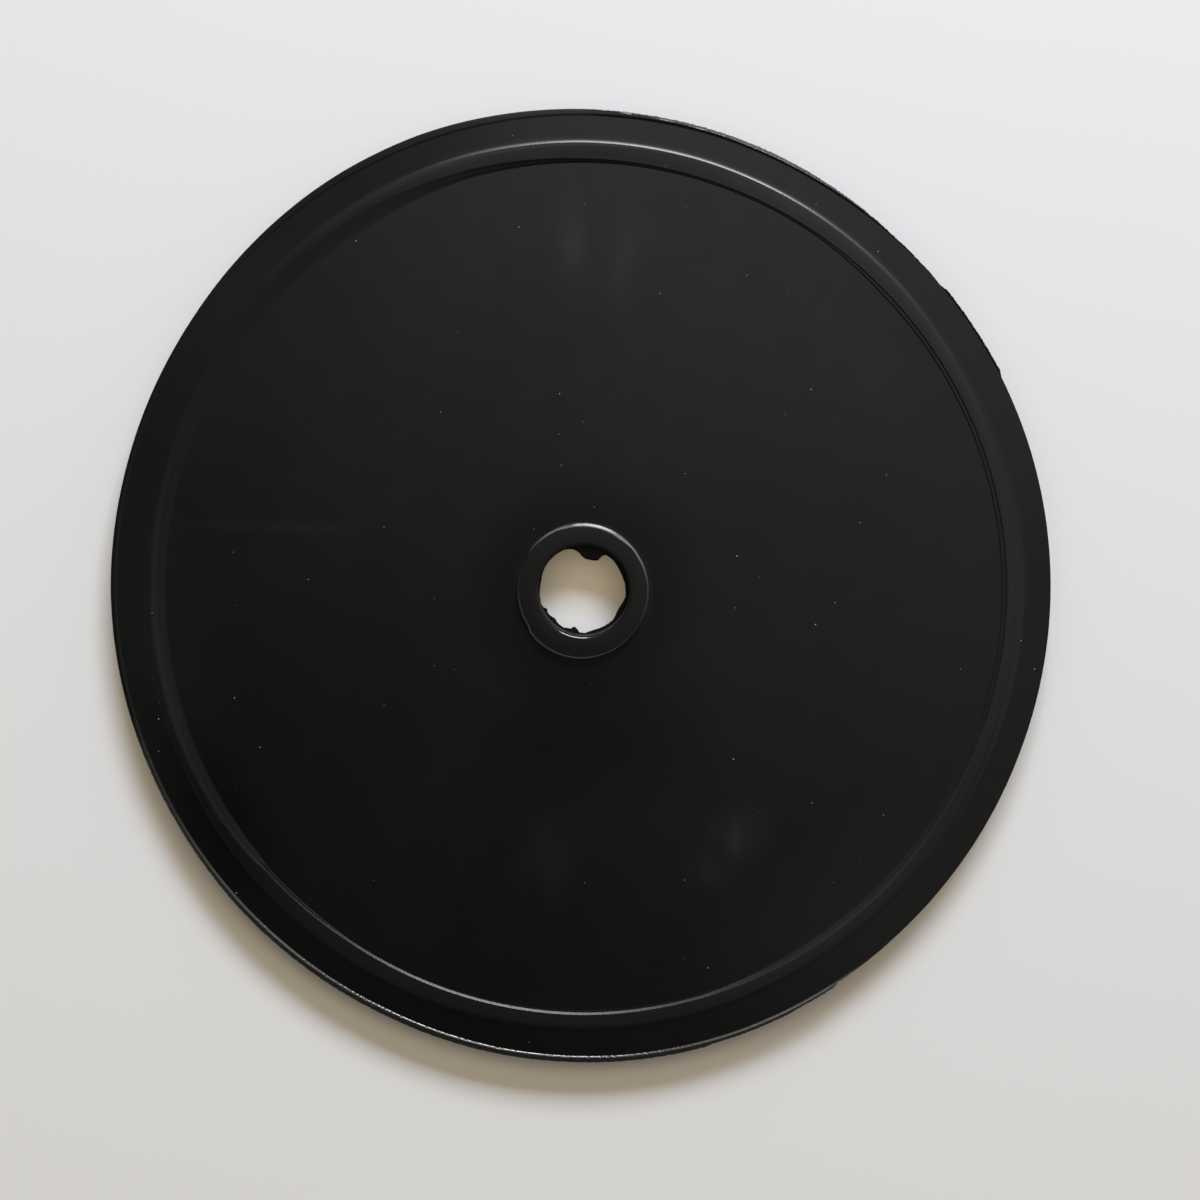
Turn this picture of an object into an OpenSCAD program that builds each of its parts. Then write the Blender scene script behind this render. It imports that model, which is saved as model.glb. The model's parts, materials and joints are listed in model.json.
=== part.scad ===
// Valve diaphragm: one moulded rubber disc with a hub, a stem bore, a flexing web,
// a low raised land and a flat clamping rim, as it comes from a two-part mould.
// Origin on the axis at the flat underside, +Z up through the hub.

/* [Disc] */
// Diameter of the moulded disc over its rim, without the flash at the edge
disc_d = 168; // [164:1:200]
// Thickness of the rim, the flat ring clamped between the valve's flanges
rim_t = 5.5; // [4.5:0.1:8]
// Thickness of the web, the flexing ring between the hub and the land
web_t = 5.5; // [4:0.1:7]
// Rounding of the disc's lower outer edge
edge_round = 0.5; // [0.2:0.1:1.5]

/* [Raised land] */
// Outer diameter of the land's flat top
land_d = 158; // [120:1:161]
// Width of the land's flat top
land_w = 2.9; // [1:0.1:6]
// Height of the land over the rim or the web, whichever is thicker
land_h = 0.3; // [0.2:0.05:1.5]
// Slope of the land's outer flank from level, in degrees
land_slope = 24; // [20:1:60]
// Radius of the hollow at the foot of the outer flank
land_foot_round = 1.5; // [0.2:0.1:2]
// Width of the land's steep inner flank
land_flank_w = 0.2; // [0.1:0.05:0.6]
// Width of the narrow ledge inside that flank
ledge_w = 0.5; // [0.2:0.1:1.5]
// Height of the ledge over the web
ledge_h = 0.15; // [0.05:0.05:0.25]

/* [Hub] */
// Diameter of the hub
hub_d = 24.2; // [22:0.1:40]
// Height of the hub over the web
hub_h = 1.3; // [0.8:0.1:6]
// Width of the bevel round the hub's flat top
bevel_w = 0.65; // [0.3:0.05:1]
// Slope of that bevel from level, in degrees
bevel_slope = 26; // [15:1:45]
// Rounding between the bevel and the hub's wall
hub_round = 0.12; // [0.05:0.01:0.3]
// Radius of the hollow at the foot of the hub
hub_foot_round = 0.1; // [0.05:0.05:0.25]
// Width of the shallow dish round the bore
dish_w = 1.1; // [0.6:0.1:1.3]
// Depth of the dish at the bore
dish_depth = 0.07; // [0.01:0.01:0.15]

/* [Stem bore] */
// Diameter of the bore for the valve stem
bore_d = 16.4; // [12:0.1:18]
// Rounding of the bore's upper edge
bore_round = 0.45; // [0.1:0.05:0.55]

/* [Flash] */
// Greatest width of the flash left round the rim at the mould's parting plane
rim_flash_w = 1.4; // [1:0.05:2.5]
// Thickness of that flash
rim_flash_t = 0.5; // [0.2:0.05:0.8]
// Width over which it turns up from the rim
curl_w = 0.42; // [0.2:0.02:0.8]
// Height to which it turns up
curl_h = 0.22; // [0.06:0.02:0.5]
// Height that it loses again from its crest to its torn edge
curl_fall = 0.3; // [0:0.05:0.6]
// Depth of each ripple of small teeth along the torn edge
tear_depth = 0.03; // [0:0.01:0.06]
// Greatest width of the torn film at the lower end of the bore
bore_film_w = 2.7; // [1:0.1:4]
// Thickness of the torn film
bore_film_t = 0.3; // [0.1:0.05:0.6]

/* [Hidden] */

// Smooth circles for the round cuts
$fn = 180;
// Steps in each quarter of a rounded edge
arc_steps = 6;
// Depth by which the flash and the film root in the moulded body
root = 0.4;
// Overshoot of the cut through the film
cut_over = 1;

disc_r = disc_d / 2;
hub_r = hub_d / 2;
bore_r = bore_d / 2;
land_r = land_d / 2;
land_top = max(rim_t, web_t) + land_h;
ledge_top = web_t + ledge_h;
hub_top = web_t + hub_h;
// The land's inner edge, and the ledge at the foot of its inner flank
land_in_r = land_r - land_w;
ledge_r = land_in_r - land_flank_w;
ledge_in_r = ledge_r - ledge_w;
// The land's outer flank, which runs into the rim in a hollow no higher than itself
land_drop = land_top - rim_t;
land_foot_r = land_r + land_drop / tan(land_slope);
land_hollow = min(land_foot_round, land_drop / (1 - cos(land_slope)) / 2);
hollow_reach = land_hollow * tan(land_slope / 2);
// The bevel's lower edge, and how far below it the rounding into the hub's wall has its centre
brow_z = hub_top - bevel_w * tan(bevel_slope);
brow_drop = hub_round * (1 - sin(bevel_slope)) / cos(bevel_slope);
// The dish's lowest level, at the bore
dish_z = hub_top - dish_depth;

// How far the untrimmed flash stands out from the rim: direction in degrees, share of its
// greatest width. It was trimmed close on one side and torn on the other.
RIM_FLASH = [
    [0, 0.04], [27, 0.07], [28, 0.36], [30, 0.29], [39.5, 0.32], [40.5, 0.07],
    [48, 0.21], [55, 0.5], [62, 0.71], [80, 0.79], [95, 0.86], [110, 1], [125, 0.93],
    [145, 0.75], [165, 0.71], [180, 0.86], [195, 0.79], [212, 0.79], [226, 0.93],
    [250, 1], [265, 0.96], [285, 0.94], [286, 0.79], [296, 0.75], [297, 0.64],
    [302, 0.6], [303, 0.32], [312, 0.14], [322, 0.07], [360, 0.04]
];
// Spacing of the points along the torn edge, in degrees
tear_pitch = 1.5;
// Teeth per turn in each of the ripples that make up the torn edge
TEAR_RIPPLES = [31, 53, 86];

// How far the torn film stands into the bore: direction in degrees, share of its greatest width
BORE_FILM = [
    [0, 0.24], [15, 0.3], [30, 0.31], [45, 0.26], [57, 0.28], [61, 0.44], [64, 0.89],
    [73, 1], [86, 1], [93, 0.81], [98, 0.52], [104, 0.28], [110, 0.17], [116, 0.07],
    [130, 0.04], [150, 0.03], [160, 0.07], [168, 0.11], [178, 0.09], [188, 0.05],
    [198, 0.02], [203, 0.06], [206, 0.13], [208, 0.26], [211, 0.17], [219, 0.19],
    [224, 0.3], [231, 0.19], [243, 0.14], [248, 0.22], [252, 0.3], [256, 0.46],
    [261, 0.31], [264, 0.13], [272, 0.09], [276, 0.17], [284, 0.23], [300, 0.21],
    [314, 0.2], [325, 0.34], [334, 0.35], [342, 0.28], [350, 0.19]
];

// Points along a rounded edge of radius r about [cx, cy], from angle a0 to a1
function arc(cx, cy, r, a0, a1) = [
    for (k = [0:arc_steps])
        let (a = a0 + (a1 - a0) * k / arc_steps)
            [cx + r * cos(a), cy + r * sin(a)]
];

// Width of the torn edge's small teeth in direction a
function tear(a) = tear_depth * [for (n = TEAR_RIPPLES) sin(n * a)] * [for (n = TEAR_RIPPLES) 1];

// Half of the moulded section, from the bore outwards and back over the top
module moulded_section() {
    polygon(concat(
        [[bore_r, 0]],
        arc(disc_r - edge_round, edge_round, edge_round, -90, 0),
        [[disc_r, rim_t]],
        arc(land_foot_r + hollow_reach, rim_t + land_hollow, land_hollow,
            -90, -90 - land_slope),
        [[land_r, land_top], [land_in_r, land_top]],
        [[ledge_r, ledge_top], [ledge_in_r, ledge_top], [ledge_in_r - land_flank_w, web_t]],
        arc(hub_r + hub_foot_round, web_t + hub_foot_round, hub_foot_round, -90, -180),
        arc(hub_r - hub_round, brow_z - brow_drop, hub_round, 0, 90 - bevel_slope),
        [[hub_r - bevel_w, hub_top], [bore_r + dish_w, hub_top]],
        arc(bore_r + bore_round, dish_z - bore_round, bore_round, 90, 180)
    ));
}

// Section of the flash: a thin film that turns up from the rim and falls to its edge
module rim_flash_section() {
    crest = rim_t + curl_h;
    tip_r = disc_r + rim_flash_w + tear_depth * len(TEAR_RIPPLES);
    polygon([
        [disc_r - root, rim_t],
        [disc_r - root, rim_t - rim_flash_t],
        [disc_r + curl_w, crest - rim_flash_t],
        [tip_r, crest - curl_fall - rim_flash_t],
        [tip_r, crest - curl_fall],
        [disc_r + curl_w, crest],
        [disc_r, rim_t]
    ]);
}

// Flash round the rim, torn and trimmed to its ragged outline
module rim_flash() {
    intersection() {
        rotate_extrude() rim_flash_section();
        linear_extrude(height = rim_t + curl_h + rim_flash_t)
            polygon([
                for (a = [0:tear_pitch:360 - tear_pitch])
                    let (reach = rim_flash_w * lookup(a, RIM_FLASH) + tear(a))
                        (disc_r + reach) * [cos(a), sin(a)]
            ]);
    }
}

// Torn film at the lower end of the bore, where the mould's core pin shut off
module bore_film() {
    difference() {
        cylinder(r = bore_r + root, h = bore_film_t);
        translate([0, 0, -cut_over])
            linear_extrude(height = bore_film_t + 2 * cut_over)
                polygon([
                    for (p = BORE_FILM)
                        (bore_r - bore_film_w * p[1]) * [cos(p[0]), sin(p[0])]
                ]);
    }
}

module diaphragm() {
    color([0.11, 0.11, 0.11])
        union() {
            rotate_extrude() moulded_section();
            rim_flash();
            bore_film();
        }
}

diaphragm();
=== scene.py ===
import json
import math

import bmesh
import bpy
from mathutils import Matrix, Vector, noise


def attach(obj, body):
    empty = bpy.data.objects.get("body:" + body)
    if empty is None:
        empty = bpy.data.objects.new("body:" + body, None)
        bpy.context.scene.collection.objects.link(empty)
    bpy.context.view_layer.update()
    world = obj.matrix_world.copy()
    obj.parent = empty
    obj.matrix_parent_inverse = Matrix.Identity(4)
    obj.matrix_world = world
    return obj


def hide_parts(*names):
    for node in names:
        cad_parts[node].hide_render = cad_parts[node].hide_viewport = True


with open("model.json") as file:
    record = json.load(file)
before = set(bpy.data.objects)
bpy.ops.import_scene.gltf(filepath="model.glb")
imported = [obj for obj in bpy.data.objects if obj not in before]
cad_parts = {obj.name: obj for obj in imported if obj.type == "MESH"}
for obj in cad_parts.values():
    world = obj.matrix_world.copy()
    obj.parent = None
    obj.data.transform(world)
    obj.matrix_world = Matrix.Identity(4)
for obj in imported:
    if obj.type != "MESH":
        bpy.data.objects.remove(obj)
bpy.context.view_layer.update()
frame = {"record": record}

# The diaphragm is one disc of black rubber, pressed in a two-part steel mould. Its section is
# turned about the stem's axis: a flat underside, the outer wall, a flat rim, the low raised land
# with a narrow ledge inside it, the flexing web, and the hub with its stem bore.
MM = 0.001
mounts = {m["name"]: m for m in frame["record"]["mounts"]}
bore_r = mounts["stem_bore"]["dims"]["r_mm"] * MM
rim_z = mounts["rim_face"]["pos_m"][2]
hub_z = mounts["hub_face"]["pos_m"][2]
disc_r = 84.0 * MM
web_z = rim_z
land_z = rim_z + 0.3 * MM
ledge_z = rim_z + 0.15 * MM
land_out_r = 79.0 * MM
land_foot_r = 79.42 * MM
hollow_r = 80.05 * MM
land_in_r = 76.1 * MM
ledge_r = 75.9 * MM
ledge_in_r = 75.3 * MM
ledge_foot_r = 75.1 * MM
hub_r = 12.1 * MM
hub_top_r = 11.45 * MM
hub_brow_z = hub_z - 0.32 * MM
dish_r = 9.9 * MM
dish_z = hub_z - 0.09 * MM
film_t = 0.3 * MM
flash_t = 0.5 * MM
tiny = 1e-6
# Even widths at which the film and the flash are turned, before they get their ragged edges
film_unit = 1.0 * MM
flash_unit = 0.5 * MM


def flash_at(step):
    """Radius that stands for a step across the flash: 0 at the rim, 1 at its crest, 2 at its edge."""
    return disc_r + step * flash_unit


# Corners of the section as radius, height, length of the rounding and its segments
section = [
    (bore_r - film_unit, 0.0, 0.1 * MM, 2),
    (disc_r, 0.0, 0.5 * MM, 6),
    (disc_r, rim_z - flash_t, 0.0, 0),
    (flash_at(0.5), rim_z - flash_t, 0.0, 0),
    (flash_at(1.0), rim_z - flash_t, 0.0, 0),
    (flash_at(1.5), rim_z - flash_t, 0.0, 0),
    (flash_at(2.0), rim_z - flash_t, 0.0, 0),
    (flash_at(2.0), rim_z, 0.06 * MM, 2),
    (flash_at(1.75), rim_z, 0.0, 0),
    (flash_at(1.5), rim_z, 0.0, 0),
    (flash_at(1.3), rim_z, 0.0, 0),
    (flash_at(1.15), rim_z, 0.0, 0),
    (flash_at(1.05), rim_z, 0.0, 0),
    (flash_at(0.92), rim_z, 0.0, 0),
    (flash_at(0.6), rim_z, 0.0, 0),
    (flash_at(0.3), rim_z, 0.0, 0),
    (flash_at(0.1), rim_z, 0.0, 0),
    (disc_r - 0.05 * MM, rim_z, 0.0, 0),
    (hollow_r, rim_z, 0.3 * MM, 4),
    (land_foot_r, rim_z + 0.03 * MM, 0.2 * MM, 5),
    (land_out_r, land_z - 0.085 * MM, 0.05 * MM, 3),
    (78.4 * MM, land_z - 0.05 * MM, 0.0, 0),
    (77.4 * MM, land_z - 0.015 * MM, 0.0, 0),
    (land_in_r, land_z, 0.04 * MM, 2),
    (ledge_r, ledge_z, 0.04 * MM, 2),
    (ledge_in_r, ledge_z, 0.03 * MM, 2),
    (ledge_foot_r, web_z, 0.04 * MM, 2),
    (hub_r, web_z, 0.1 * MM, 3),
    (hub_r, hub_brow_z, 0.1 * MM, 4),
    (hub_top_r, hub_z, 0.15 * MM, 3),
    (dish_r, hub_z, 0.7 * MM, 4),
    (bore_r, dish_z, 0.45 * MM, 8),
    (bore_r, film_t, 0.0, 0),
    (bore_r - film_unit, film_t, 0.1 * MM, 2),
]
TURN_STEPS = 480

bm = bmesh.new()
corners = [bm.verts.new((r, 0.0, z)) for r, z, _, _ in section]
bm.faces.new(corners)
for corner, (_, _, rounding, segments) in zip(corners, section):
    if segments:
        bmesh.ops.bevel(bm, geom=[corner], offset=rounding, offset_type="OFFSET",
                        segments=segments, profile=0.5, affect="VERTICES", material=-1)
bmesh.ops.delete(bm, geom=bm.faces[:], context="FACES_ONLY")
bmesh.ops.spin(bm, geom=bm.verts[:] + bm.edges[:], cent=(0, 0, 0), axis=(0, 0, 1),
               dvec=(0, 0, 0), angle=2 * math.pi, steps=TURN_STEPS, use_merge=True)
bmesh.ops.remove_doubles(bm, verts=bm.verts[:], dist=1e-7)


def look_up(table, at):
    """The table's value at that place, straight between its entries."""
    for (a0, v0), (a1, v1) in zip(table, table[1:]):
        if at <= a1:
            return v0 + (v1 - v0) * (at - a0) / (a1 - a0)
    return table[-1][1]


def direction(vert):
    """Direction in which the vertex lies from the stem's axis, in degrees from 0 to 360."""
    return math.degrees(math.atan2(vert.co.y, vert.co.x)) % 360


def outwards(vert):
    return Vector((vert.co.x, vert.co.y, 0)).normalized()


# Flash squeezed out round the rim where the two halves of the mould part. It turns up from the
# rim, and was trimmed close on the right and torn off by hand on the rest: smooth on the upper
# left, and torn through obliquely at the top right and all along the bottom.

# Width of the flash in mm, by direction in degrees
RIM_FLASH = [
    (0, 0.05), (27, 0.1), (28, 0.5), (30, 0.4), (39.5, 0.45), (40.5, 0.1),
    (48, 0.3), (55, 0.7), (62, 1.0), (80, 1.1), (95, 1.35), (110, 1.65), (125, 1.5),
    (145, 1.05), (165, 1.0), (180, 1.2), (195, 1.1), (212, 1.1), (226, 1.3),
    (250, 1.4), (265, 1.35), (285, 1.32), (286, 1.1), (296, 1.05), (297, 0.9),
    (302, 0.85), (303, 0.45), (312, 0.2), (322, 0.1), (360, 0.05),
]
# Step across the flash past which it is torn, by direction
TORN_PAST = [
    (0, 2), (27, 2), (29, 1.7), (46, 1.7), (50, 1.04), (70, 1.08), (76, 1.2), (82, 1.5), (90, 2),
    (196, 2), (208, 1.08), (300, 1.08), (308, 2), (360, 2),
]
# How pale a painted highlight makes its crest, 0 to 1, by direction
CREST_HIGHLIGHT = [
    (0, 0), (208, 0), (214, 0.08), (230, 0.3), (240, 0.1), (250, 0), (272, 0), (284, 0.2),
    (295, 0.35), (301, 0.3), (306, 0), (360, 0),
]
# Small and large teeth of the torn edge: how close together, and how deep in mm
TEETH = [(330, 0.09), (120, 0.07)]
trimmed_teeth = 0.15
curl_w = 0.42 * MM
curl_h = 0.26 * MM
curl_share = 0.6
curl_bend = 1.6
crest_torn_in = 0.12
uneven = 0.15
torn_through = 0.3
torn_blend = 0.08
torn_fall = 0.5 * MM
smooth_lift = 0.07 * MM
smooth_fall = 0.03 * MM
streak_h = 0.06 * MM
narrowest = 0.02 * MM
full_curl_w = 0.7 * MM
lower_crest_highlight = 0.3

flash_rings = [e for e in bm.edges
               if all(v.co.xy.length > disc_r + tiny for v in e.verts)
               and abs(e.verts[0].co.xy.length - e.verts[1].co.xy.length) < tiny
               and abs(e.verts[0].co.z - e.verts[1].co.z) < tiny]
bmesh.ops.subdivide_edges(bm, edges=flash_rings, cuts=5, use_grid_fill=True)

# The layers say, 0 to 1 at each vertex for the material, how torn the rubber is and how strong a pale
# painted highlight lies on it
tear = bm.verts.layers.float.new("torn")
painted_highlight = bm.verts.layers.float.new("painted_highlight")
for v in bm.verts:
    step = (v.co.xy.length - disc_r) / flash_unit
    if step < 1e-3:
        continue
    turn = direction(v)
    out = outwards(v)
    past = look_up(TORN_PAST, turn)
    torn = min(1.0, (2 - past) / torn_through)
    teeth = sum(depth * noise.noise(out * closeness) for closeness, depth in TEETH)
    teeth *= trimmed_teeth + (1 - trimmed_teeth) * torn
    reach = max(narrowest, (look_up(RIM_FLASH, turn) + teeth) * MM)
    crest = min(curl_w, curl_share * reach) * (1 - crest_torn_in * torn)
    crest *= 1 + uneven * torn * noise.noise(out * 260)
    lift = smooth_lift + (curl_h - smooth_lift) * torn * (1 + uneven * noise.noise(out * 200))
    lift *= min(1.0, reach / full_curl_w)
    if step <= 1:
        width = step * crest
        rise = lift * step ** curl_bend
    else:
        width = crest + (step - 1) * (reach - crest)
        rise = lift
    top = v.co.z > rim_z - 0.5 * flash_t
    if top:
        streak = streak_h * noise.noise(out * 420 + Vector((0, 0, step * 1.5)))
        broken = max(0.0, step - past) / (2.0001 - past)
        rise -= torn * (torn_fall * broken + streak * min(1.0, broken * 4))
        rise -= (1 - torn) * smooth_fall * max(0.0, step - 1) ** 2
        v[tear] = torn * min(1.0, max(0.0, step - past) / torn_blend)
        # On the lower side the crest is painted in the torn rubber's paler colour, a painted highlight
        if out.y < 0:
            v[tear] = max(v[tear], lower_crest_highlight * torn * min(1.0, step))
        # A pale painted highlight along the flash's crest, set by direction
        if 0.25 < step < 1.1:
            v[painted_highlight] = look_up(CREST_HIGHLIGHT, turn)
    else:
        rise = rise * (1 - torn) * 0.8 if step > 1 else rise * 0.6
        v[tear] = torn * max(0.0, step - 1)
    v.co = out * (disc_r + width) + Vector((0, 0, v.co.z + rise))

# The disc isn't truly round, as rubber shrinks and gives on its way out of the mould. By
# direction, in mm: how far its edge, the land's outer flank and the land's inner edge stand off
# the true circle, how wide the ledge is, and how wide the flank on each side of the ledge.
EDGE_OFF = [
    (0, -0.25), (45, -0.36), (60, -0.43), (75, 0), (90, 0.27), (105, 0.41), (120, 0.36), (150, -0.18),
    (180, -0.36), (200, -0.45), (215, -0.5), (230, -0.45), (245, -0.27), (260, 0.23), (275, 0.48),
    (290, 0.45), (305, 0.18), (320, 0), (340, -0.27), (360, -0.25),
]
LAND_OFF = [
    (0, -1.75), (30, -1.65), (45, -0.95), (60, -0.35), (75, 0.2), (90, 0.6), (105, 0.8), (120, 0.6),
    (150, 0), (180, -0.7), (195, -0.7), (210, -0.35), (240, 0), (270, 0.18), (285, 0), (300, -0.35),
    (315, -0.45), (330, -0.72), (345, -1.35), (360, -1.75),
]
LEDGE_OFF = [
    (0, -0.2), (15, -0.25), (30, -0.36), (45, -0.36), (60, -0.07), (75, 0.22), (90, 0.65), (105, 1.4),
    (120, 1.9), (150, 1.9), (180, 1.4), (200, 1.55), (212, 1.3), (219, 0.9), (221, 0.4), (235, 0.3),
    (255, 0.6), (270, 0.78), (285, 0.7), (300, 0.75), (315, 0.6), (330, 0.3), (345, -0.1), (360, -0.2),
]
LEDGE_W = [
    (0, 0.5), (45, 0.42), (58, 0.04), (130, 0.04), (165, 0.3), (190, 0.2), (219, 0.1), (221, 0.35),
    (230, 0.25), (237, 0.03), (300, 0.03), (330, 0.1), (350, 0.5), (360, 0.5),
]
FLANK_W = [
    (0, 0.2), (75, 0.22), (90, 0.33), (105, 0.7), (120, 1.4), (150, 1.4), (180, 1.1), (200, 1.1),
    (212, 0.95), (219, 0.7), (221, 0.2), (238, 0.163), (286, 0.163), (300, 0.65), (335, 0.6),
    (350, 0.2), (360, 0.2),
]
# How far the hub's edge stands off the true circle and how wide its bevel is, in mm, and how
# pale a painted highlight makes that edge, 0 to 1
HUB_OFF = [
    (0, -0.4), (30, -0.42), (45, -0.32), (60, -0.16), (75, -0.05), (90, 0.02), (105, 0), (120, -0.04),
    (140, 0.02), (150, -0.12), (180, -0.2), (213, -0.2), (217, 0.12), (225, 0.28), (250, 0.26),
    (270, 0.18), (285, 0.03), (300, -0.06), (315, -0.22), (330, -0.3), (360, -0.4),
]
BEVEL_W = [(0, 0.2), (42, 0.2), (56, 0.6), (92, 0.65), (106, 0.45), (114, 0.24), (360, 0.24)]
HUB_EDGE_HIGHLIGHT = [
    (0, 0.15), (15, 0.28), (30, 0.6), (45, 0.75), (56, 0.3), (64, 0), (98, 0), (106, 0.4), (120, 0.6),
    (130, 0.3), (140, 0.12), (148, 0), (165, 0.06), (180, 0.12), (195, 0.3), (213, 0.4), (235, 0.45),
    (250, 0.55), (270, 0.5), (285, 0.3), (300, 0.25), (315, 0.1), (330, 0.08), (345, 0.13), (360, 0.15),
]
true_bevel_w = (hub_r - hub_top_r) / MM
true_flank_w = (land_in_r - ledge_r) / MM
true_ledge_w = (ledge_r - ledge_in_r) / MM
true_hub_r = 10.4 * MM
hub_shoulder_r = 11.3 * MM
hub_foot_r = hub_r + 0.1 * MM
true_web_r = hub_r + 1 * MM
for v in bm.verts:
    r = v.co.xy.length
    if r <= true_hub_r:
        continue
    turn = direction(v)
    on_bevel = hub_brow_z - 0.05 * MM < v.co.z < hub_z - tiny
    # A pale painted highlight along the hub's bevel, set by direction
    if on_bevel and hub_shoulder_r + 0.05 * MM < r < hub_r + tiny:
        v[painted_highlight] = look_up(HUB_EDGE_HIGHLIGHT, turn)
    hub = look_up(HUB_OFF, turn)
    shoulder = hub + true_bevel_w - look_up(BEVEL_W, turn)
    outer = look_up(LAND_OFF, turn)
    edge = look_up(EDGE_OFF, turn)
    inner = look_up(LEDGE_OFF, turn)
    flank = true_flank_w - look_up(FLANK_W, turn)
    ledge = true_ledge_w - look_up(LEDGE_W, turn)
    off = look_up([
        (true_hub_r, 0), (hub_shoulder_r, shoulder), (hub_top_r, shoulder), (hub_r, hub),
        (hub_foot_r, hub), (true_web_r, 0), (ledge_foot_r, inner + 2 * flank + ledge),
        (ledge_in_r, inner + flank + ledge), (ledge_r, inner + flank), (land_in_r, inner),
        (land_out_r, outer), (hollow_r, outer), (disc_r, edge), (2 * disc_r, edge),
    ], r)
    v.co += off * MM * outwards(v)

# Film of torn flash at the lower end of the bore, where the mould's core pin shut off: a narrow
# ragged edge, with one tongue left hanging at the top and flat torn stretches on the right.

# Width of the film in mm, by direction
BORE_FILM = [
    (0, 0.66), (8, 0.66), (15, 0.8), (30, 0.85), (45, 0.7), (57, 0.75), (61, 1.2), (64, 2.4),
    (73, 2.7), (86, 2.7), (93, 2.2), (98, 1.4), (104, 0.75), (110, 0.45), (116, 0.2),
    (130, 0.1), (150, 0.08), (160, 0.2), (168, 0.3), (178, 0.25), (188, 0.12), (198, 0.04),
    (203, 0.15), (206, 0.35), (208, 0.7), (211, 0.45), (214, 0.38), (219, 0.5), (224, 0.8),
    (227, 0.72), (231, 0.5), (236, 0.38), (243, 0.38), (248, 0.6), (252, 0.8), (256, 1.25),
    (258, 1.1), (261, 0.85), (264, 0.35), (272, 0.25), (276, 0.45), (284, 0.62), (300, 0.56),
    (314, 0.55), (319, 0.7), (325, 0.92), (334, 0.95), (342, 0.75), (350, 0.5), (360, 0.66),
]
for v in bm.verts:
    r = v.co.xy.length
    if r < bore_r - tiny:
        out = outwards(v)
        width = look_up(BORE_FILM, direction(v)) * MM
        width = max(narrowest, width + noise.noise(out * 30) * 0.05 * MM)
        v.co = out * (bore_r - (bore_r - r) / film_unit * width) + Vector((0, 0, v.co.z))

sharpest_smooth = math.radians(32)
bmesh.ops.recalc_face_normals(bm, faces=bm.faces[:])
for e in bm.edges:
    e.smooth = e.calc_face_angle(0) < sharpest_smooth
disc_mesh = bpy.data.meshes.new("moulded_disc")
bm.to_mesh(disc_mesh)
bm.free()
disc = bpy.data.objects.new("moulded_disc", disc_mesh)
bpy.context.collection.objects.link(disc)
even = disc.modifiers.new("even_normals", "WEIGHTED_NORMAL")
even.keep_sharp = True

# The rubber: carbon black filled, smooth from a polished mould, with a soft sheen. Handling has
# left chalky smears, thumb marks and a scatter of pale dust. Torn rubber is rough and greyer.
rubber = bpy.data.materials.new("black_rubber")
rubber.use_nodes = True
nodes = rubber.node_tree.nodes
links = rubber.node_tree.links
shader = nodes["Principled BSDF"]
place = nodes.new("ShaderNodeTexCoord").outputs["Object"]


def feed(socket, value):
    """Links the value to the socket if it is a socket itself, or sets it."""
    if isinstance(value, bpy.types.NodeSocket):
        links.new(value, socket)
    else:
        socket.default_value = value


def maths(operation, a, b=0.0):
    step = nodes.new("ShaderNodeMath")
    step.operation = operation
    feed(step.inputs[0], a)
    feed(step.inputs[1], b)
    return step.outputs[0]


def times(a, b):
    return maths("MULTIPLY", a, b)


def vector_maths(operation, a, b=(0, 0, 0)):
    step = nodes.new("ShaderNodeVectorMath")
    step.operation = operation
    feed(step.inputs[0], a)
    feed(step.inputs[1], b)
    return step.outputs["Value" if operation in ("LENGTH", "DOT_PRODUCT") else "Vector"]


def ramp(value, start, end, low=0.0, high=1.0):
    """Goes smoothly from low to high as the value goes from start to end."""
    step = nodes.new("ShaderNodeMapRange")
    step.interpolation_type = "SMOOTHSTEP"
    for socket, number in zip(step.inputs, (value, start, end, low, high)):
        feed(socket, number)
    return step.outputs[0]


def grain(size, detail=2.0, stretch=(1, 1, 1), where=place):
    """Noise with features of that size, in metres."""
    stretched = vector_maths("MULTIPLY", where, stretch)
    texture = nodes.new("ShaderNodeTexNoise")
    feed(texture.inputs["Vector"], stretched)
    texture.inputs["Scale"].default_value = 1 / size
    texture.inputs["Detail"].default_value = detail
    return texture.outputs["Fac"]


def patch(x, y, half_length, half_width, turn=0.0):
    """1 in the middle of an oval mark at that place on the disc, in mm, fading to 0 at its edge."""
    local = nodes.new("ShaderNodeMapping")
    local.vector_type = "TEXTURE"
    feed(local.inputs["Vector"], place)
    local.inputs["Location"].default_value = (x * MM, y * MM, 0)
    local.inputs["Rotation"].default_value = (0, 0, math.radians(turn))
    local.inputs["Scale"].default_value = (half_length * MM, half_width * MM, 1)
    return ramp(vector_maths("LENGTH", local.outputs[0]), 1.0, 0.0)


def specks(cell, density, smallest, largest):
    """Pale grains of dust, at most one in each cell, in mm. Density is 0 to 1."""
    cells = nodes.new("ShaderNodeTexVoronoi")
    cells.voronoi_dimensions = "2D"
    feed(cells.inputs["Vector"], place)
    cells.inputs["Scale"].default_value = 1 / (cell * MM)
    parts = nodes.new("ShaderNodeSeparateColor")
    feed(parts.inputs[0], cells.outputs["Color"])
    chosen = maths("LESS_THAN", parts.outputs[0], density)
    size = ramp(parts.outputs[1], 0.0, 1.0, smallest / cell, largest / cell)
    spot = times(maths("LESS_THAN", cells.outputs["Distance"], size), chosen)
    return times(spot, ramp(parts.outputs[2], 0.3, 1.0, 0.08, 1.0))


def gather(*masks):
    """The strongest of the masks."""
    total = masks[0]
    for mask in masks[1:]:
        total = maths("MAXIMUM", total, mask)
    return total


def along(x, y):
    """Distance from the stem's axis in that direction, in metres."""
    return vector_maths("DOT_PRODUCT", place, (x, y, 0))


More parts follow.
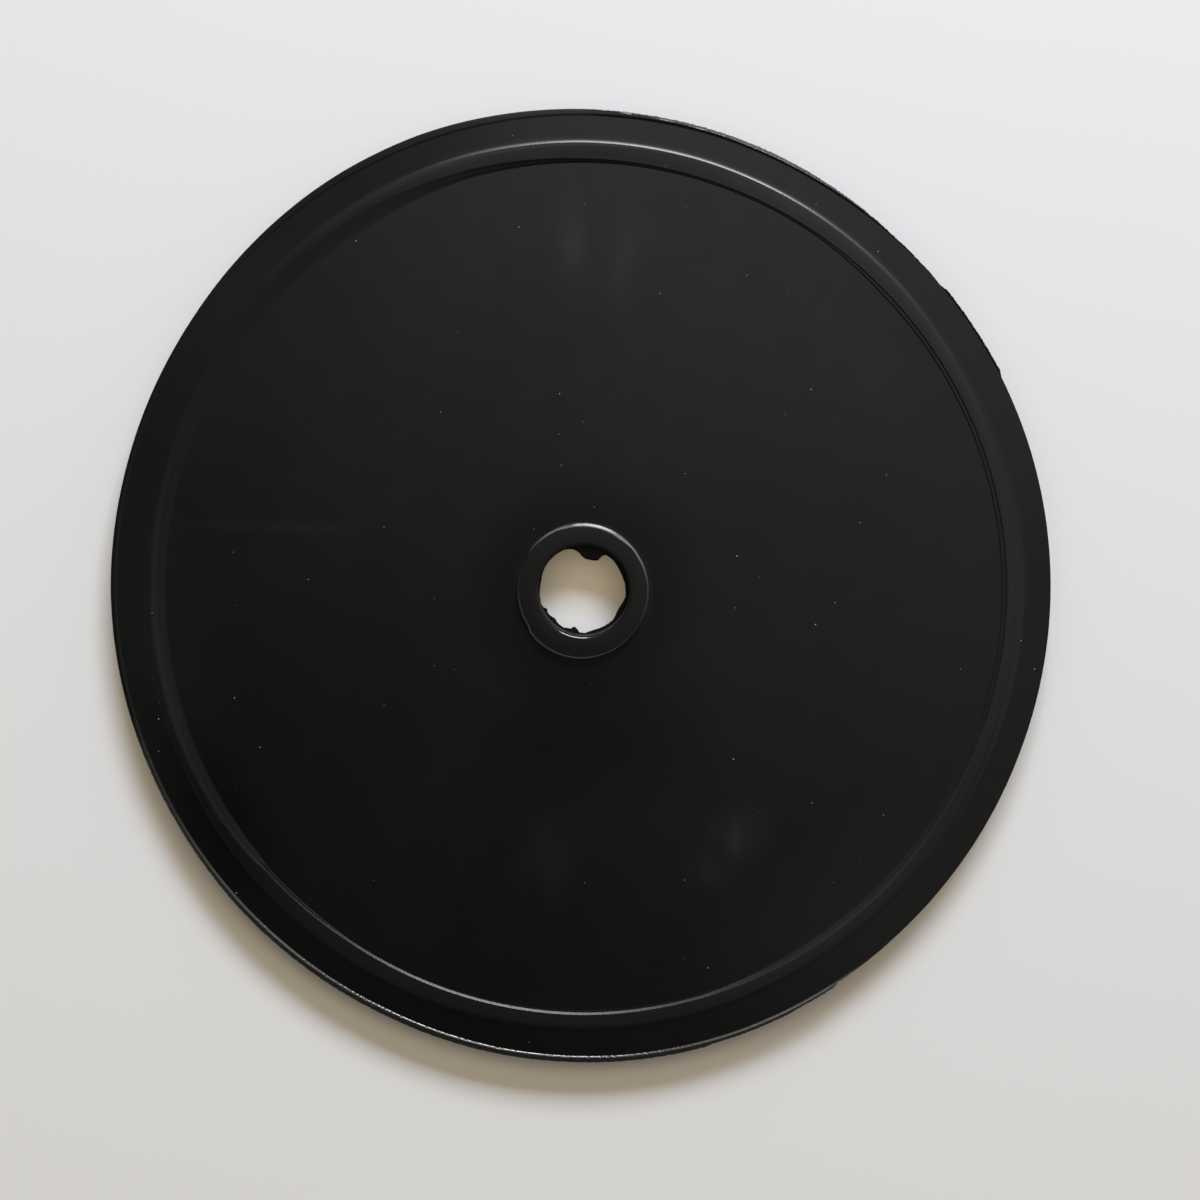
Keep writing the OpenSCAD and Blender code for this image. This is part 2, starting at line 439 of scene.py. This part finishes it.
flat_place = vector_maths("MULTIPLY", place, (1, 1, 0))
radius = vector_maths("LENGTH", flat_place)
spoke = vector_maths("NORMALIZE", flat_place)
normal = nodes.new("ShaderNodeNewGeometry").outputs["Normal"]
upward = nodes.new("ShaderNodeSeparateXYZ")
feed(upward.inputs[0], normal)
facing_lamp = ramp(vector_maths("DOT_PRODUCT", normal, (0.21, 0.98, 0)), 0.0, 0.12)
facing_up = ramp(upward.outputs["Z"], 0.85, 0.99)

dustier = gather(
    patch(33, 48, 16, 12), patch(-5, 26, 8, 6), patch(32, -40, 16, 12), patch(5, 40, 14, 10),
)
density = maths("ADD", times(dustier, 0.35), 0.07)
dust = gather(specks(4.5, density, 0.045, 0.1), specks(13.0, 0.25, 0.06, 0.13))
dust = times(dust, facing_up)

chalk = gather(
    times(patch(-2, 61, 4.5, 13, 2), 0.6),
    times(patch(6.5, 59, 4, 13, -6), 0.45),
    times(patch(28, -44, 9, 7, 40), 0.8),
    times(patch(23, -50, 7, 6), 0.5),
    times(patch(-7, -49, 8, 11), 0.4),
    times(patch(-55, 11.5, 24, 1.8, -2), 0.25),
    times(patch(48, 44, 26, 9, -45), 0.16),
    times(patch(2, 64, 26, 8, 4), 0.16),
)
chalk = times(chalk, ramp(grain(6 * MM, 5.0, (1, 0.35, 1)), 0.2, 0.8))
chalk = times(chalk, facing_up)

torn_edge = nodes.new("ShaderNodeAttribute")
torn_edge.attribute_name = "torn"
torn = torn_edge.outputs["Fac"]
painted_highlight_edge = nodes.new("ShaderNodeAttribute")
painted_highlight_edge.attribute_name = "painted_highlight"
streaks_and_shade = grain(0.0045, 3.0, where=spoke)
streaks_and_shade = maths("ADD", times(streaks_and_shade, 0.7), times(grain(0.3 * MM), 0.3))
# The torn rubber's pale streaks fade towards the bottom, away from the lamp: painted shade there
streaks_and_shade = times(ramp(streaks_and_shade, 0.35, 0.65), ramp(along(0, 1), -70 * MM, 0.0, 0.35, 1.0))

clean_colour = (0.0012, 0.0012, 0.0012, 1)
chalk_colour = (0.017, 0.0166, 0.016, 1)
torn_dark = (0.006, 0.0045, 0.0035, 1)
torn_pale = (0.05, 0.047, 0.043, 1)
# Pale colour of the painted highlights along the hub's edge and the flash's crest
painted_highlight_colour = (0.2, 0.2, 0.195, 1)
dust_colour = (0.4, 0.4, 0.38, 1)


def over(under, colour, amount):
    """The colour laid over the one under it, by that amount."""
    mix = nodes.new("ShaderNodeMix")
    mix.data_type = "RGBA"
    feed(mix.inputs["Factor"], amount)
    feed(mix.inputs["A"], under)
    feed(mix.inputs["B"], colour)
    return mix.outputs["Result"]


colour = over(clean_colour, chalk_colour, chalk)
colour = over(colour, over(torn_dark, torn_pale, streaks_and_shade), torn)
# Pale painted highlights along the hub's edge and the flash's crest
colour = over(colour, painted_highlight_colour, painted_highlight_edge.outputs["Fac"])
colour = over(colour, dust_colour, dust)
feed(shader.inputs["Base Color"], colour)

# The sheen differs from place to place: more roughness is paler where the lamp isn't mirrored
cloudy = ramp(grain(45 * MM, 3.0), 0.3, 0.7, -0.015, 0.015)
fine_cloud = ramp(grain(6 * MM, 4.0), 0.3, 0.7, -0.008, 0.008)
toward_light = along(0.7, 0.7)
by_hub = times(ramp(radius, 12.3 * MM, 12.6 * MM), ramp(radius, 24 * MM, 13 * MM))
on_hub = ramp(radius, 11.9 * MM, 11.6 * MM)
on_rim = ramp(radius, 79 * MM, 80.5 * MM)
on_land = ramp(radius, land_in_r - 0.1 * MM, land_in_r)
on_land = times(on_land, ramp(radius, land_out_r + 0.1 * MM, land_out_r))
land_tone = ramp(toward_light, -80 * MM, 80 * MM, 0.085, -0.02)
land_tone = maths("ADD", land_tone, ramp(along(0.77, -0.64), -80 * MM, 80 * MM, -0.055, 0.08))
land_tone = maths("ADD", land_tone, times(patch(76, -14, 44, 16, 80), 0.07))
land_tone = maths("ADD", land_tone, times(patch(7, 78, 36, 12, -5), -0.05))
land_tone = maths("ADD", land_tone, times(patch(-70, -20, 52, 16, 107), 0.05))
level = nodes.new("ShaderNodeSeparateXYZ")
feed(level.inputs[0], place)
on_film = times(ramp(level.outputs["Z"], 0.8 * MM, 0.5 * MM), facing_up)
glossy_flank = times(maths("SUBTRACT", 1.0, facing_up), facing_lamp)
steep_wall = ramp(upward.outputs["Z"], 0.3, 0.1)
tones = [
    fine_cloud,
    ramp(toward_light, -55 * MM, 55 * MM, -0.05, 0.03),
    times(by_hub, -0.095),
    times(on_hub, ramp(along(0.42, 0.91), -11 * MM, 11 * MM, -0.065, 0.06)),
    times(on_land, land_tone),
    times(on_rim, ramp(toward_light, -80 * MM, 60 * MM, -0.03, 0.01)),
    times(times(on_rim, patch(-36, 74, 42, 16, 26)), -0.1),
    times(times(on_rim, patch(82, 2, 28, 14, 90)), -0.06),
    times(patch(46, -64, 44, 26, 35), 0.1),
    times(patch(-80, -12, 44, 20, 98), 0.06),
    times(patch(2, -25, 30, 20), -0.1),
    times(patch(-66, -38, 30, 10, 120), -0.07),
    times(glossy_flank, -0.22),
    times(steep_wall, 0.6),
    times(chalk, 0.05),
    times(on_film, -0.13),
    times(gather(times(torn, 0.6), dust), 0.35),
]
rough = maths("ADD", cloudy, 0.43)
for tone in tones:
    rough = maths("ADD", rough, tone)
feed(shader.inputs["Roughness"], maths("MINIMUM", rough, 1.0))

bump = nodes.new("ShaderNodeBump")
bump.inputs["Strength"].default_value = 0.25
bump.inputs["Distance"].default_value = 0.02 * MM
height = maths("ADD", grain(0.35 * MM, 3.0), times(times(torn, streaks_and_shade), 8.0))
height = maths("ADD", height, times(dust, 3.0))
feed(bump.inputs["Height"], height)
feed(shader.inputs["Normal"], bump.outputs[0])
disc_mesh.materials.append(rubber)

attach(disc, "root")
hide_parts("diaphragm")

# The studio: a plain sheet of pale paper under the disc, a wide soft lamp like a window beyond
# its top edge, low enough to rake over the land and the hub, and a dim warm room around them.
paper = bpy.data.materials.new("pale_paper")
paper.use_nodes = True
nodes = paper.node_tree.nodes
links = paper.node_tree.links
paper_shader = nodes["Principled BSDF"]
paper_shader.inputs["Base Color"].default_value = (0.595, 0.648, 0.73, 1)
paper_shader.inputs["Roughness"].default_value = 0.9
paper_shader.inputs["Specular IOR Level"].default_value = 0.2
paper_shader.inputs["Emission Color"].default_value = (1.0, 0.78, 0.47, 1)
# The paper's warm glow, for the camera alone, is painted light that stands in for the room's fill. It
# is painted shade close beside the disc, deepest under its lower edge away from the lamp, and brighter
# painted light in the bore.
painted_fill_light = 0.22
shade = nodes.new("ShaderNodeAmbientOcclusion")
shade.samples = 8
shade.inputs["Distance"].default_value = 6 * MM
place = nodes.new("ShaderNodeTexCoord").outputs["Object"]
painted_shade_depth = ramp(along(-0.21, -0.98), 40 * MM, 84 * MM, 0.8, 3.4)
painted_bore_light = ramp(vector_maths("LENGTH", place), bore_r + 0.5 * MM, bore_r, 1.0, 1.35)
painted_fill = times(maths("POWER", shade.outputs["AO"], painted_shade_depth), painted_bore_light)
painted_fill = times(painted_fill, nodes.new("ShaderNodeLightPath").outputs["Is Camera Ray"])
feed(paper_shader.inputs["Emission Strength"], times(painted_fill, painted_fill_light))
sheet = bmesh.new()
bmesh.ops.create_grid(sheet, x_segments=1, y_segments=1, size=2.0)
bmesh.ops.translate(sheet, verts=sheet.verts[:], vec=(0, 0, -0.02 * MM))
floor_mesh = bpy.data.meshes.new("paper")
sheet.to_mesh(floor_mesh)
sheet.free()
floor_mesh.materials.append(paper)
floor = bpy.data.objects.new("paper", floor_mesh)
bpy.context.collection.objects.link(floor)

LAMP_TURN = 78
LAMP_RISE = 32.5
LAMP_AWAY = 1.25
lamp_data = bpy.data.lights.new("window_lamp", "AREA")
lamp_data.shape = "RECTANGLE"
lamp_data.size = 0.66
lamp_data.size_y = 0.3
lamp_data.energy = 20.0
lamp_data.color = (0.97, 0.985, 1.0)
lamp = bpy.data.objects.new("window_lamp", lamp_data)


def toward(turn, rise):
    """Unit vector at that turn and rise, in degrees."""
    turn, rise = math.radians(turn), math.radians(rise)
    return Vector((math.cos(turn) * math.cos(rise), math.sin(turn) * math.cos(rise), math.sin(rise)))


lamp.location = LAMP_AWAY * toward(LAMP_TURN, LAMP_RISE)
lamp.rotation_euler = lamp.location.to_track_quat("Z", "Y").to_euler()
bpy.context.collection.objects.link(lamp)

world = bpy.data.worlds.new("room")
bpy.context.scene.world = world
world.use_nodes = True
nodes = world.node_tree.nodes
links = world.node_tree.links
backdrop = nodes["Background"]
heading = nodes.new("ShaderNodeTexCoord").outputs["Generated"]
rise = nodes.new("ShaderNodeSeparateXYZ")
feed(rise.inputs[0], heading)
lamp_side = ramp(vector_maths("DOT_PRODUCT", heading, toward(60, 15)), -0.5, 0.95)
upper_walls = ramp(rise.outputs["Z"], 0.84, 0.64, 0.0, 0.14)
lower_walls = ramp(rise.outputs["Z"], 0.45, 0.2, 0.0, 0.04)
bright_wall = times(lamp_side, ramp(rise.outputs["Z"], 0.7, 0.25, 0.0, 0.6))
bright_ceiling = ramp(vector_maths("DOT_PRODUCT", heading, toward(50, 65)), 0.8, 1.0, 0.0, 0.42)
room = maths("ADD", maths("ADD", upper_walls, lower_walls), maths("ADD", bright_wall, bright_ceiling))
camera_sees = nodes.new("ShaderNodeLightPath").outputs["Is Camera Ray"]
feed(backdrop.inputs["Color"], over((1.0, 0.93, 0.84, 1), (0.9, 0.9, 0.9, 1), camera_sees))
feed(backdrop.inputs["Strength"], maths("MAXIMUM", room, camera_sees))

# The camera looks almost straight down on the sheet, from 16 mm off square on the lamp's side.
CAMERA_UP = 350 * MM
CAMERA_TILT = 2.6
FRAME_ACROSS = 215.3 * MM
aim = Vector((2.95 * MM, -1.7 * MM, rim_z))
tilt = math.radians(CAMERA_TILT)
camera_data = bpy.data.cameras.new("camera")
camera_data.sensor_width = 36.0
camera_data.lens = 36.0 * CAMERA_UP / FRAME_ACROSS
camera = bpy.data.objects.new("camera", camera_data)
stand = aim + CAMERA_UP * Vector((0, math.sin(tilt), math.cos(tilt)))
camera.matrix_world = Matrix.Translation(stand) @ Matrix.Rotation(-tilt, 4, "X")
bpy.context.collection.objects.link(camera)
scene = bpy.context.scene
scene.camera = camera
scene.view_settings.view_transform = "Standard"
